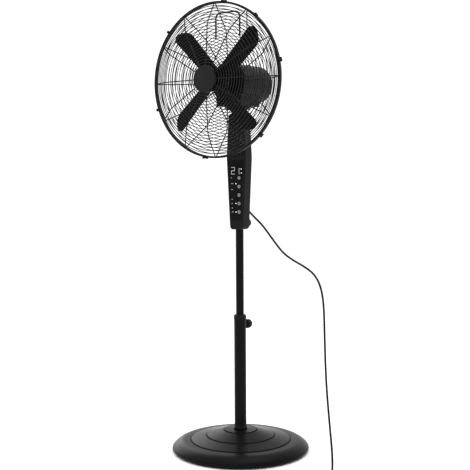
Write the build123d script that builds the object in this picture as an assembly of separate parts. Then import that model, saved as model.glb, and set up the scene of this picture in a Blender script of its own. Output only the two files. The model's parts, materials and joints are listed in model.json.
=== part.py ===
from build123d import *
import math
import os

os.makedirs("parts", exist_ok=True)

# Frame: millimetres, floor at z = 0, pole on the Z axis, the fan blows towards -Y

# Clearances
FIXED_GAP = 0.05
RUNNING_GAP = 0.1
AIR_GAP = 0.3
WELD_GAP = 0.03

# Base
BASE_RADIUS = 199.5
BASE_TOP = 63.0
COVER_WALL = 2.0
SEAT_RADIUS = 24.0
STEP_RINGS = ((151.5, 61.4), (100.5, 45.6), (54.5, 34.0))
STEP_DROP = 1.4
STEP_WIDTH = 0.9
SHOULDER_START_INSET = 35.5
SHOULDER_START_Z = 31.4
SHOULDER_INSET = 2.0
LIP_TOP = 13.2
LIP_SET = 1.0
LIP_BULGE_Z = 7.5
LIP_TUCK = 8.0
LIP_LIFT = 1.0
PLATE_THICK = 2.5
WEIGHT_RADIUS = 118.0
WEIGHT_TOP = 12.0
WEIGHT_POST_RADIUS = 28.0
STUD_RADIUS = 5.0
STUD_TIP = 6.0
WASHER_RADIUS = 16.0
WASHER_THICK = 2.5
NUT_FLATS = 17.0
NUT_HEIGHT = 8.0
NUT_POCKET_TOP = 19.0

# Poles
OUTER_POLE_RADIUS = 17.5
OUTER_POLE_WALL = 1.5
OUTER_POLE_LENGTH = 322.0
INNER_POLE_RADIUS = 11.5
INNER_POLE_WALL = 1.5
INNER_POLE_REACH = 248.0
INNER_POLE_GRIP = 37.0
POLE_FOOT_HEIGHT = 20.0
COLLAR_HEIGHT = 12.0
COLLAR_WALL = 1.1
COLLAR_BEAD = 1.5
CAP_FLANGE = 14.0
CAP_OVERHANG = 0.8
CAP_CHAMFER = 2.6
CAP_BUSH = 40.0
END_BUSH = 30.0
BUSH_STOP_GAP = 1.5

# Clamp screws and their knobs
SCREW_RADIUS = 3.0
SCREW_TIP_GAP = 0.4
HEIGHT_SCREW_DROP = 18.0
BOSS_RADIUS = 7.5
BOSS_LENGTH = 8.5
KNOB_RADIUS = 13.5
KNOB_LENGTH = 18.0
KNOB_NECK_RADIUS = 8.0
KNOB_NECK_LENGTH = 3.0
KNOB_LOBES = 8
KNOB_LOBE_RADIUS = 3.6
KNOB_LOBE_INSET = 1.5
KNOB_ROUND = 4.5

# Control housing
HOUSING_FRONT = -18.0
HOUSING_REAR = 22.0
HOUSING_SPLIT = 2.0
HOUSING_WALL = 2.5
HOUSING_HEIGHT = 333.0
HOUSING_FOOT_HALF = 22.5
HOUSING_WIDE_HALF = 33.5
HOUSING_WIDE_Z = 208.0
HOUSING_CROWN_HALF = 26.0
HOUSING_WIDE_ROUND = 120.0
HOUSING_CORNER_ROUND = 10.0
HOUSING_FRONT_ROUND = 4.0
HOUSING_REAR_ROUND = 8.5
HOUSING_SCREW_DROP = 18.0
POST_RADIUS = 2.4
HOUSING_SCREWS = ((17.6, 28.0), (16.0, 240.0))
HOUSING_SCREW_RADIUS = 1.25
HOUSING_SCREW_HEAD = (3.0, 1.3)
HOUSING_SCREW_REACH = 18.0
HOUSING_POST_DROP = 9.0

# Control panel
PANEL_THICK = 1.2
PANEL_INSET = 4.8
PANEL_SPAN = (26.0, 200.0)
WINDOW_LEFT = -20.0
WINDOW_MARGIN = 0.9
WINDOW_DROP = 14.0
WINDOW_RISE = 2.0
WINDOW_LEDGE = 2.0
BUTTON_X = 11.5
BUTTON_FIRST_Z = 148.5
BUTTON_PITCH = 24.4
BUTTON_COUNT = 5
BUTTON_RADIUS = 5.0
BUTTON_PROUD = 1.0
BUTTON_FLANGE = (6.6, 1.5)
BUTTON_TRAVEL = 1.2
LENS_X = 0.5
LENS_RADIUS = 1.3
LENS_HEIGHTS = (132.0, 75.3, 50.9)
BOARD_HALF_WIDTH = 19.0
BOARD_SPAN = (42.0, 188.0)
BOARD_FACE = -8.0
BOARD_THICK = 1.6
SWITCH_SIZE = 6.0
BOARD_POSTS = ((-14.0, 60.0), (-14.0, 100.0), (-14.0, 140.0), (-2.0, 120.0))

# Pole socket inside the housing
SOCKET_RADIUS = 15.0
SOCKET_FOOT = (12.5, 2.5)
SOCKET_FLANGE = (17.0, 13.0, 3.0)

# Strain relief and cord
RELIEF_Z = 69.0
RELIEF_DROP_DEG = 35.0
RELIEF_LENGTH = 28.0
RELIEF_ROOT_RADIUS = 6.0
RELIEF_COLLAR = (8.0, 3.0)
RELIEF_PLUG_RADIUS = 5.0
CORD_RADIUS = 3.0
CORD_SEAT = 5.0
CORD_LEAVE = 10.5
COIL_CENTRE = (336.0, -165.0)
COIL_RADIUS = 40.0
COIL_STEP = 9.2
COIL_LIFT = 4.4
COIL_TAIL = 36.0
TIE_GAP = 0.5
TIE_THICK = 0.8
TIE_WIDTH = 8.0
PLUG_SLEEVE = (14.0, 5.2)
PLUG_BODY = (34.0, 17.0, 11.0)
PLUG_TAPER = 3.0
PIN_RADIUS = 2.0
PIN_LENGTH = 19.0
PIN_SPACING = 18.6
PIN_SEAT = 6.0

# Tilt neck
TILT_DROP = 14.0
TILT_Y = 2.0
TONGUE_RADIUS = 9.0
TONGUE_HALF = 9.0
TILT_BOSS_RADIUS = 8.0
BOLT_RADIUS = 3.0
BOLT_HEAD = (5.5, 3.5)
BOLT_NUT_FLATS = 10.0
BOLT_NUT_HEIGHT = 4.0
BOLT_TIP = 1.5
NECK_RISE = 10.0
SLOT_Y = (-14.5, 12.0)
SWING_Y = -8.0
TURRET_RADIUS = 36.0
TURRET_HEIGHT = 8.7
NECK_HALF_DEPTH = 6.7
SPINDLE_RADIUS = 9.0
SPINDLE_RISE = 11.3

# Swing drive
SWING_FLOOR = 2.5
GEAR_MODULE = 1.5
GEAR_TEETH = 32
PINION_TEETH = 12
GEAR_THICK = 5.5
GEAR_BACKLASH = 0.35
PRESSURE_ANGLE = 25.0
ADDENDUM = 0.8
DEDENDUM = 1.1
FLANK_POINTS = 4
PINION_SHAFT_RADIUS = 2.5
PINION_SHAFT_RISE = 4.0
SWING_MOTOR_RADIUS = 19.0
SWING_MOTOR_HEIGHT = 8.0
SWING_EAR = (28.0, 4.0, 2.0)
SWING_POST_X = 24.0
SWING_POST_RADIUS = 3.0

# Motor
BOX_DROP = 67.0
BOX_HALF_WIDTH = 43.0
BOX_REAR = 48.0
BOX_CORNER_ROUND = 8.0
MOTOR_RADIUS = 54.0
MOTOR_FRONT = -50.0
MOTOR_COVER_THICK = 8.0
MOTOR_REAR = 104.0
MOTOR_REAR_ROUND = 15.0
MOTOR_WALL = 2.5
VENT_COUNT = 12
VENT_RADII = (14.0, 26.0)
VENT_WIDTH = 4.0
STATOR_RADIUS = 42.0
STATOR_Y = (-18.0, 38.0)
ROTOR_RADIUS = 22.0
ROTOR_GAP = 0.6
ROTOR_OVERHANG = 2.0
WINDING_RADII = (26.0, 39.0)
WINDING_LENGTH = 15.0
CUP_WALL = 3.0
CUP_OVERLAP = 8.0
END_PLATE_Y = 56.0
END_PLATE_THICK = 3.0
SHAFT_RADIUS = 4.0
SHAFT_FRONT = -136.0
SHAFT_REAR = 70.0
SHAFT_HOLE_GAP = 1.5
BEARING_RADIUS = 11.0
BEARING_WIDTH = 7.0
BEARING_SEAT_WALL = 3.0
NOSE_RADIUS = 26.0
NOSE_LENGTH = 12.0

# Guards
RIM_Y = -114.0
RIM_RADIUS = 215.0
BAND_WALL = 1.8
BAND_WIDTH = 9.0
RIM_WIRE = 2.0
RIM_WIRE_APART = 4.6
RING_WIRE = 1.1
RING_MARGIN = 6.0
SPOKE_WIRE = 1.5
SPOKE_COUNT = 12
SPOKE_BEND = 25.0
FRONT_SPOKE_FOOT = 28.0
FRONT_SPOKE_Y = (-157.5, -149.5)
FRONT_KNEE_INSET = 65.0
FRONT_RING_FIRST = 44.0
FRONT_RING_PITCH = 8.2
REAR_SPOKE_FOOT = 35.5
REAR_SPOKE_Y = (-53.0, -60.0)
REAR_KNEE_INSET = 75.0
REAR_RING_FIRST = 61.0
REAR_RING_PITCH = 8.2
GUARD_PLATE_RADIUS = 58.0
GUARD_PLATE_THICK = 1.3
GUARD_NUT_RADIUS = 34.0
GUARD_NUT_LENGTH = 6.4
GUARD_NUT_LOBES = 12
GUARD_NUT_LOBE = 2.0
HUB_PLATE_RADIUS = 34.0
HUB_PLATE_THICK = 1.25
BADGE_RADIUS = 37.5
BADGE_THICK = 8.0
HANDLE_WIRE = 2.5
HANDLE_HALF_WIDTH = 41.0
HANDLE_TOP_INSET = 21.0
HANDLE_HEIGHT = 70.0
HANDLE_BEND = 16.0

# Guard clips, each angle clockwise from the top seen from the front
CLIP_ANGLES = (8.0, 78.5, 136.0, 190.0, 250.0, 312.0)
CLIP_HALF_WIDTH = 3.6
CLIP_THICK = 1.8
CLIP_LIFT = 0.5
CLIP_HOOK_THICK = 2.0
CLIP_HOOK_REACH = 1.6
CLIP_TAB = (1.8, 3.0)
CLIP_BARREL = 1.7
CLIP_PIVOT_BACK = 2.0
CLIP_PIN_RADIUS = 1.0
CLIP_PIN_LENGTH = 1.8
LUG_THICK = 1.6
LUG_RISE = 3.9
LUG_LENGTH = 8.0
LUG_SINK = 0.4
RIM_LOCK_ANGLE = 39.0
RIM_LOCK_HALF = 5.0
RIM_LOCK_HEAD = (3.4, 2.2)

# Blades
BLADE_Y = -113.0
BLADE_COUNT = 4
BLADE_FIRST_ANGLE = 45.0
BLADE_THICK = 2.4
BLADE_ROOT = 26.0
BLADE_TIP_INSET = 27.5
BLADE_ROOT_PITCH = 20.0
BLADE_TIP_PITCH = 12.0
BLADE_SECTIONS = 4
BLADE_SHEET = (-30.0, 46.0)
BLADE_ROOT_EDGES = (-12.0, 25.0)
BLADE_TRAILING_TIP = (9.5, -15.5)
BLADE_TIP_OFFSET = -2.0
BLADE_TIP_CORNER = (5.5, 14.0)
BLADE_LEADING_MID = (17.5, 27.0)
BLADE_LEADING_TIP = (42.5, 32.5)
BLADE_SLAB = 80.0
HUB_RADIUS = 31.0
HUB_FACE_RADIUS = 20.0
HUB_FRONT = -126.0
HUB_SHOULDER = -118.0
HUB_REAR = -95.0
HUB_WALL = 2.5
HUB_CORE_RADIUS = 9.0
BLADE_NUT_RADIUS = 15.0
BLADE_NUT_LENGTH = 12.5

# Heights and places that follow from the sizes above
POLE_TOP = BASE_TOP + OUTER_POLE_LENGTH
CAP_TOP = POLE_TOP + CAP_FLANGE
HOUSING_Z = CAP_TOP + INNER_POLE_REACH
HOUSING_TOP = HOUSING_Z + HOUSING_HEIGHT
TILT_Z = HOUSING_TOP - TILT_DROP
TURRET_Z = HOUSING_TOP + NECK_RISE
TURRET_TOP = TURRET_Z + TURRET_HEIGHT
BOX_Z = TURRET_TOP + AIR_GAP
HEAD_Z = BOX_Z + BOX_DROP
GEAR_Z = BOX_Z + SWING_FLOOR + AIR_GAP
HEIGHT_SCREW_Z = POLE_TOP - HEIGHT_SCREW_DROP
HOUSING_SCREW_Z = HOUSING_Z + HOUSING_SCREW_DROP
OUTER_POLE_BORE = OUTER_POLE_RADIUS - OUTER_POLE_WALL
FRONT_KNEE = (RIM_RADIUS - FRONT_KNEE_INSET, FRONT_SPOKE_Y[1])
FRONT_SPOKE = ((FRONT_SPOKE_FOOT, FRONT_SPOKE_Y[0]), FRONT_KNEE)
REAR_KNEE = (RIM_RADIUS - REAR_KNEE_INSET, REAR_SPOKE_Y[1])
REAR_SPOKE = ((REAR_SPOKE_FOOT, REAR_SPOKE_Y[0]), REAR_KNEE)
BLADE_TIP = RIM_RADIUS - BLADE_TIP_INSET
SCREW_HOLE = SCREW_RADIUS + AIR_GAP

# Hand-chosen route of the lead, from the strain relief to the start of the coil
CORD_ROUTE = (
    (9.5, 69.0, 676.0),
    (27.0, 76.0, 658.0),
    (46.0, 80.0, 634.0),
    (64.0, 84.0, 610.0),
    (79.0, 86.0, 592.0),
    (94.5, 87.0, 576.5),
    (111.0, 86.0, 566.0),
    (138.0, 83.0, 553.5),
    (163.5, 78.0, 544.5),
    (187.0, 72.0, 535.0),
    (211.0, 64.0, 523.0),
    (233.0, 54.0, 503.0),
    (250.0, 43.0, 474.0),
    (261.0, 33.0, 436.0),
    (268.0, 24.0, 390.0),
    (274.0, 16.0, 340.0),
    (280.0, 8.5, 290.0),
    (287.0, 1.0, 240.0),
    (295.0, -6.0, 190.0),
    (304.0, -13.0, 142.0),
    (314.0, -22.0, 98.0),
    (325.0, -34.0, 61.0),
    (336.0, -50.0, 33.0),
    (347.0, -71.0, 15.0),
    (359.0, -96.0, 6.5),
    (370.0, -122.0, 4.8),
    (376.0, -147.0, 4.4),
)


# Basic shapes
def block(x0, x1, y0, y1, z0, z1):
    centre = Pos((x0 + x1) / 2, (y0 + y1) / 2, (z0 + z1) / 2)
    return centre * Box(x1 - x0, y1 - y0, z1 - z0)


def rod_x(radius, x0, x1, y, z):
    return Pos((x0 + x1) / 2, y, z) * Rot(0, 90, 0) * Cylinder(radius, x1 - x0)


def rod_y(radius, y0, y1, x, z):
    return Pos(x, (y0 + y1) / 2, z) * Rot(90, 0, 0) * Cylinder(radius, y1 - y0)


def rod_z(radius, z0, z1, x=0.0, y=0.0):
    return Pos(x, y, (z0 + z1) / 2) * Cylinder(radius, z1 - z0)


def tube_z(outer, inner, z0, z1):
    return rod_z(outer, z0, z1) - rod_z(inner, z0 - 1, z1 + 1)


def turned(*points):
    profile = make_face(Plane.XZ * Polyline(*points, close=True))
    return revolve(profile, Axis.Z)


def on_head(shape):
    return Pos(0, 0, HEAD_Z) * Rot(-90, 0, 0) * shape


def turned_on_head(*points):
    return on_head(turned(*points))


def ring_on_head(outer, inner, y0, y1):
    return turned_on_head((inner, y0), (outer, y0), (outer, y1), (inner, y1))


def at_angle(shape, angle):
    return on_head(Rot(0, 0, angle - 90) * shape)


def hexagon(flats, length):
    return extrude(RegularPolygon(flats / math.sqrt(3), 6), length)


def prism_y(face, y0, y1):
    return Pos(0, y1, 0) * extrude(Plane.XZ * face, y1 - y0)


def tube_along(path, radius):
    section = Plane(origin=path @ 0, z_dir=path % 0) * Circle(radius)
    return sweep(section, path)


def save(node, *solids):
    shape = solids[0] if len(solids) == 1 else Compound(children=list(solids))
    export_step(shape, f"parts/{node}.step")


# Base
def base_cover():
    hole = STUD_RADIUS + AIR_GAP
    top = [(hole, BASE_TOP), (SEAT_RADIUS, BASE_TOP)]
    under = [(hole, BASE_TOP - COVER_WALL), (SEAT_RADIUS, BASE_TOP - COVER_WALL)]
    for inset, height in STEP_RINGS:
        radius = BASE_RADIUS - inset
        top.append((radius, height))
        top.append((radius + STEP_WIDTH, height - STEP_DROP))
        under.append((radius, height - STEP_DROP - COVER_WALL))
    roll_start = BASE_RADIUS - SHOULDER_START_INSET
    lead_in = (roll_start - top[-1][0], SHOULDER_START_Z - top[-1][1])
    top.append((roll_start, SHOULDER_START_Z))
    under.append((roll_start, SHOULDER_START_Z - COVER_WALL))
    shoulder = (BASE_RADIUS - SHOULDER_INSET, LIP_TOP + STEP_DROP)
    under_end = (shoulder[0] - COVER_WALL, LIP_TOP - COVER_WALL)
    lip_edge = (BASE_RADIUS - LIP_SET, LIP_TOP)
    foot = (BASE_RADIUS - LIP_TUCK, LIP_LIFT)
    under_foot = (foot[0] - COVER_WALL, LIP_LIFT)
    under_bulge = (BASE_RADIUS - COVER_WALL - LIP_SET / 2, LIP_BULGE_Z - LIP_SET)
    edges = [
        Polyline(*top),
        TangentArc(top[-1], shoulder, tangent=lead_in),
        Polyline(shoulder, (shoulder[0], LIP_TOP), lip_edge),
        ThreePointArc(lip_edge, (BASE_RADIUS, LIP_BULGE_Z), foot),
        Line(foot, under_foot),
        ThreePointArc(under_foot, under_bulge, under_end),
        TangentArc(under[-1], under_end, tangent=lead_in),
        Polyline(*under),
        Line(top[0], under[0]),
    ]
    profile = Plane.XZ * make_face(Curve(children=edges).edges())
    return revolve(profile, Axis.Z)


def base_weight():
    bore = STUD_RADIUS + AIR_GAP
    pocket = WASHER_RADIUS + AIR_GAP
    return turned(
        (pocket, PLATE_THICK),
        (WEIGHT_RADIUS, PLATE_THICK),
        (WEIGHT_RADIUS, WEIGHT_TOP),
        (WEIGHT_POST_RADIUS, WEIGHT_TOP),
        (WEIGHT_POST_RADIUS - 2 * COVER_WALL, BASE_TOP - COVER_WALL),
        (bore, BASE_TOP - COVER_WALL),
        (bore, NUT_POCKET_TOP),
        (pocket, NUT_POCKET_TOP),
    )


def foot_collar():
    inner = OUTER_POLE_RADIUS + FIXED_GAP
    outer = inner + COLLAR_WALL
    bead = outer + COLLAR_BEAD
    return turned(
        (inner, BASE_TOP),
        (outer, BASE_TOP),
        (bead, BASE_TOP + COLLAR_HEIGHT * 0.15),
        (bead, BASE_TOP + COLLAR_HEIGHT * 0.35),
        (outer, BASE_TOP + COLLAR_HEIGHT * 0.55),
        (outer, BASE_TOP + COLLAR_HEIGHT - COLLAR_WALL / 2),
        (outer - COLLAR_WALL / 2, BASE_TOP + COLLAR_HEIGHT),
        (inner, BASE_TOP + COLLAR_HEIGHT),
    )


def build_base():
    plate_radius = BASE_RADIUS - LIP_TUCK - COVER_WALL - AIR_GAP
    save("base_cover", base_cover())
    save("base_plate", rod_z(plate_radius, 0, PLATE_THICK))
    save("base_weight", base_weight())
    save("foot_collar", foot_collar())
    foot = rod_z(OUTER_POLE_BORE - FIXED_GAP, BASE_TOP, BASE_TOP + POLE_FOOT_HEIGHT)
    save("pole_foot", foot + rod_z(STUD_RADIUS, STUD_TIP, BASE_TOP))
    washer_z = NUT_POCKET_TOP - WASHER_THICK
    nut = Pos(0, 0, washer_z - NUT_HEIGHT) * hexagon(NUT_FLATS, NUT_HEIGHT)
    bore = rod_z(STUD_RADIUS + FIXED_GAP, 0, BASE_TOP)
    save("base_nut", nut + rod_z(WASHER_RADIUS, washer_z, NUT_POCKET_TOP) - bore)


# Poles
def build_poles():
    height_hole = rod_y(SCREW_HOLE, 0, OUTER_POLE_RADIUS + 1, 0, HEIGHT_SCREW_Z)
    save("outer_pole", tube_z(OUTER_POLE_RADIUS, OUTER_POLE_BORE, BASE_TOP, POLE_TOP) - height_hole)
    bush = OUTER_POLE_BORE - FIXED_GAP
    bore = INNER_POLE_RADIUS + RUNNING_GAP
    flange = OUTER_POLE_RADIUS + CAP_OVERHANG
    cap = turned(
        (bore, POLE_TOP - CAP_BUSH),
        (bush, POLE_TOP - CAP_BUSH),
        (bush, POLE_TOP),
        (flange, POLE_TOP),
        (flange, CAP_TOP - CAP_CHAMFER),
        (flange - CAP_CHAMFER, CAP_TOP),
        (bore, CAP_TOP),
    )
    save("pole_cap", cap - height_hole)
    boss_end = OUTER_POLE_RADIUS + BOSS_LENGTH
    boss = rod_y(BOSS_RADIUS, INNER_POLE_RADIUS, boss_end, 0, HEIGHT_SCREW_Z)
    boss -= rod_z(OUTER_POLE_RADIUS + FIXED_GAP, BASE_TOP, CAP_TOP)
    boss -= rod_y(SCREW_RADIUS + FIXED_GAP, 0, boss_end + 1, 0, HEIGHT_SCREW_Z)
    save("clamp_boss", boss)
    bush_top = POLE_TOP - CAP_BUSH - BUSH_STOP_GAP
    pole_foot_z = bush_top - END_BUSH
    pole_top_z = HOUSING_Z + INNER_POLE_GRIP
    inner_bore = INNER_POLE_RADIUS - INNER_POLE_WALL
    save("inner_pole", tube_z(INNER_POLE_RADIUS, inner_bore, pole_foot_z, pole_top_z))
    end_bush = tube_z(OUTER_POLE_BORE - RUNNING_GAP, INNER_POLE_RADIUS + FIXED_GAP, pole_foot_z, bush_top)
    save("end_bush", end_bush)


# Clamp knobs
def knob(face_y, z):
    start = face_y + KNOB_NECK_LENGTH
    body = rod_y(KNOB_RADIUS, start, start + KNOB_LENGTH, 0, z)
    body = fillet(body.edges().filter_by(GeomType.CIRCLE), KNOB_ROUND)
    reach = KNOB_RADIUS + KNOB_LOBE_RADIUS - KNOB_LOBE_INSET
    for index in range(KNOB_LOBES):
        angle = 2 * math.pi * index / KNOB_LOBES
        x = reach * math.cos(angle)
        rise = reach * math.sin(angle)
        body -= rod_y(KNOB_LOBE_RADIUS, start - 1, start + KNOB_LENGTH + 1, x, z + rise)
    body += rod_y(KNOB_NECK_RADIUS, face_y, start + 1, 0, z)
    return body + rod_y(SCREW_RADIUS, INNER_POLE_RADIUS + SCREW_TIP_GAP, start + 1, 0, z)


def build_knobs():
    save("height_knob", knob(OUTER_POLE_RADIUS + BOSS_LENGTH + AIR_GAP, HEIGHT_SCREW_Z))
    save("housing_knob", knob(HOUSING_REAR + AIR_GAP, HOUSING_SCREW_Z))


# Control housing
def housing_outline(inset):
    z0, z1 = HOUSING_Z + inset, HOUSING_TOP - inset
    wide_z = HOUSING_Z + HOUSING_WIDE_Z
    corners = [
        (HOUSING_FOOT_HALF - inset, z0),
        (HOUSING_WIDE_HALF - inset, wide_z),
        (HOUSING_CROWN_HALF - inset, z1),
    ]
    corners += [(-x, z) for x, z in reversed(corners)]
    face = make_face(Polyline(*corners, close=True))
    ends = [v for v in face.vertices() if abs(v.Y - wide_z) > 1]
    face = fillet(ends, HOUSING_CORNER_ROUND - inset)
    sides = [v for v in face.vertices() if abs(v.Y - wide_z) < 1]
    return fillet(sides, HOUSING_WIDE_ROUND)


def housing_block(inset):
    y0, y1 = HOUSING_FRONT + inset, HOUSING_REAR - inset
    body = prism_y(housing_outline(inset), y0, y1)
    body = fillet(body.faces().sort_by(Axis.Y)[0].edges(), HOUSING_FRONT_ROUND - inset / 2)
    return fillet(body.faces().sort_by(Axis.Y)[-1].edges(), HOUSING_REAR_ROUND - inset / 2)


def panel_blank(gap):
    y1 = HOUSING_FRONT + PANEL_THICK
    span = [HOUSING_Z + z for z in PANEL_SPAN]
    strip = block(-HOUSING_WIDE_HALF, HOUSING_WIDE_HALF, HOUSING_FRONT - 1, y1, span[0] + gap, span[1] - gap)
    return prism_y(housing_outline(PANEL_INSET + gap), HOUSING_FRONT, y1 - gap) & strip


def window_blank(inset, y0, y1):
    z0 = BUTTON_FIRST_Z + BUTTON_RADIUS + WINDOW_RISE
    z1 = PANEL_SPAN[1] - WINDOW_DROP
    widening = (HOUSING_WIDE_HALF - HOUSING_FOOT_HALF) / HOUSING_WIDE_Z
    right = HOUSING_FOOT_HALF + widening * z0 - PANEL_INSET - WINDOW_MARGIN
    return block(WINDOW_LEFT + inset, right - inset, y0, y1, HOUSING_Z + z0 + inset, HOUSING_Z + z1 - inset)


def button_heights():
    return [HOUSING_Z + BUTTON_FIRST_Z - BUTTON_PITCH * i for i in range(BUTTON_COUNT)]


def lens_heights():
    return [HOUSING_Z + z for z in LENS_HEIGHTS]


def front_holes(y0, y1):
    cuts = [rod_y(BUTTON_RADIUS + AIR_GAP, y0, y1, BUTTON_X, z) for z in button_heights()]
    return cuts + [rod_y(LENS_RADIUS + FIXED_GAP, y0, y1, LENS_X, z) for z in lens_heights()]


def housing_screw_places():
    return [(side * x, HOUSING_Z + z) for x, z in HOUSING_SCREWS for side in (-1, 1)]


def whole_housing():
    shell = housing_block(0) - housing_block(HOUSING_WALL)
    shell -= rod_z(INNER_POLE_RADIUS + AIR_GAP, HOUSING_Z - 1, HOUSING_Z + HOUSING_WALL + 1)
    slot_half = TONGUE_HALF + AIR_GAP
    shell -= block(-slot_half, slot_half, *SLOT_Y, HOUSING_TOP - HOUSING_WALL - 1, HOUSING_TOP + 1)
    boss_end = HOUSING_CROWN_HALF - HOUSING_WALL / 2
    for side in (-1, 1):
        inner, outer = sorted((side * slot_half, side * boss_end))
        shell += rod_x(TILT_BOSS_RADIUS, inner, outer, TILT_Y, TILT_Z)
    return shell - rod_x(BOLT_RADIUS + FIXED_GAP, -2 * boss_end, 2 * boss_end, TILT_Y, TILT_Z)


def build_housing():
    shell = whole_housing()
    front_wall = HOUSING_FRONT + HOUSING_WALL
    far = 2 * HOUSING_WIDE_HALF
    low, high = HOUSING_Z - 1, HOUSING_TOP + 1
    front = shell & block(-far, far, HOUSING_FRONT - 1, HOUSING_SPLIT, low, high)
    rear = shell & block(-far, far, HOUSING_SPLIT, HOUSING_REAR + 1, low, high)
    front -= panel_blank(0)
    front -= window_blank(WINDOW_LEDGE, HOUSING_FRONT - 1, front_wall + 1)
    for cut in front_holes(HOUSING_FRONT - 1, front_wall + 1):
        front -= cut
    for x, z in BOARD_POSTS:
        front += rod_y(POST_RADIUS, front_wall - HOUSING_WALL / 4, BOARD_FACE, x, HOUSING_Z + z)
    screw_tip = HOUSING_REAR - HOUSING_SCREW_REACH
    post_end = HOUSING_REAR - HOUSING_POST_DROP
    for x, z in housing_screw_places():
        front += rod_y(POST_RADIUS, front_wall - HOUSING_WALL / 4, post_end, x, z)
        front -= rod_y(HOUSING_SCREW_RADIUS + FIXED_GAP, screw_tip - 1, HOUSING_REAR, x, z)
        rear -= rod_y(HOUSING_SCREW_RADIUS + AIR_GAP, post_end, HOUSING_REAR + 1, x, z)
    rear -= rod_y(SCREW_HOLE, HOUSING_SPLIT, HOUSING_REAR + 1, 0, HOUSING_SCREW_Z)
    rear -= rod_y(RELIEF_PLUG_RADIUS + FIXED_GAP, HOUSING_SPLIT, HOUSING_REAR + 1, 0, HOUSING_Z + RELIEF_Z)
    save("housing_front", front)
    save("housing_rear", rear)
    head_radius, head_height = HOUSING_SCREW_HEAD
    screws = []
    for x, z in housing_screw_places():
        head = rod_y(head_radius, HOUSING_REAR, HOUSING_REAR + head_height, x, z)
        screws.append(head + rod_y(HOUSING_SCREW_RADIUS, screw_tip, HOUSING_REAR + 1, x, z))
    save("housing_screws", *screws)


def build_panel():
    panel = panel_blank(FIXED_GAP) - window_blank(0, HOUSING_FRONT - 1, HOUSING_FRONT + HOUSING_WALL)
    for cut in front_holes(HOUSING_FRONT - 1, HOUSING_FRONT + HOUSING_WALL):
        panel -= cut
    save("control_panel", panel)
    window = window_blank(RUNNING_GAP, HOUSING_FRONT, HOUSING_FRONT + PANEL_THICK - FIXED_GAP)
    save("display_window", window)
    front_wall = HOUSING_FRONT + HOUSING_WALL
    lenses = [rod_y(LENS_RADIUS, HOUSING_FRONT, front_wall, LENS_X, z) for z in lens_heights()]
    save("indicator_lenses", *lenses)
    flange_radius, flange_thick = BUTTON_FLANGE
    flange_y = front_wall + AIR_GAP
    for index, z in enumerate(button_heights()):
        cap = rod_y(BUTTON_RADIUS, HOUSING_FRONT - BUTTON_PROUD, flange_y + flange_thick, BUTTON_X, z)
        crown = cap.faces().sort_by(Axis.Y)[0].edges()
        cap = fillet(crown, BUTTON_PROUD * 0.6)
        cap += rod_y(flange_radius, flange_y, flange_y + flange_thick, BUTTON_X, z)
        save(f"button_{index + 1}", cap)
    switch_y = flange_y + flange_thick + BUTTON_TRAVEL + AIR_GAP
    half = BOARD_HALF_WIDTH
    z0, z1 = (HOUSING_Z + z for z in BOARD_SPAN)
    board = block(-half, half, BOARD_FACE, BOARD_FACE + BOARD_THICK, z0, z1)
    for z in button_heights():
        reach = SWITCH_SIZE / 2
        board += block(BUTTON_X - reach, BUTTON_X + reach, switch_y, BOARD_FACE, z - reach, z + reach)
    display = window_blank(2 * WINDOW_LEDGE, front_wall + FIXED_GAP, BOARD_FACE)
    save("control_board", board + display)


def build_socket():
    floor_z = HOUSING_Z + HOUSING_WALL
    foot_radius, foot_height = SOCKET_FOOT
    half_x, half_y, thick = SOCKET_FLANGE
    rear_wall = HOUSING_REAR - HOUSING_WALL
    top = HOUSING_Z + INNER_POLE_GRIP
    seat = floor_z + foot_height
    socket = rod_z(SOCKET_RADIUS, seat, top) + rod_z(foot_radius, floor_z, seat)
    socket += block(-half_x, half_x, -half_y, half_y, seat, seat + thick)
    socket += rod_y(BOSS_RADIUS, 0, rear_wall, 0, HOUSING_SCREW_Z)
    socket -= rod_z(INNER_POLE_RADIUS + FIXED_GAP, floor_z - 1, top + 1)
    socket -= rod_y(SCREW_RADIUS + RUNNING_GAP, 0, rear_wall + 1, 0, HOUSING_SCREW_Z)
    save("pole_socket", socket)


# Cord, from the strain relief to the plug
def relief_axis():
    drop = math.radians(RELIEF_DROP_DEG)
    return Vector(0, math.cos(drop), -math.sin(drop))


def relief_root():
    return Vector(0, HOUSING_REAR, HOUSING_Z + RELIEF_Z)


def relief_end():
    return relief_root() + relief_axis() * RELIEF_LENGTH


def build_strain_relief():
    collar_radius, collar_thick = RELIEF_COLLAR
    root = relief_root()
    sleeve = Solid.make_cone(
        RELIEF_ROOT_RADIUS, CORD_RADIUS + 1, RELIEF_LENGTH, plane=Plane(origin=root, z_dir=relief_axis())
    )
    collar = rod_y(collar_radius, root.Y, root.Y + collar_thick, 0, root.Z)
    stem = rod_y(RELIEF_PLUG_RADIUS, root.Y - HOUSING_WALL, root.Y + collar_thick, 0, root.Z)
    far = 2 * RELIEF_LENGTH
    outside = block(-far, far, root.Y, root.Y + far, root.Z - far, root.Z + far)
    seat = Plane(origin=relief_end(), z_dir=-relief_axis())
    bore = Solid.make_cylinder(CORD_RADIUS + FIXED_GAP, CORD_SEAT + FIXED_GAP, plane=seat)
    save("strain_relief", (sleeve & outside) + collar + stem - bore)


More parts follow.
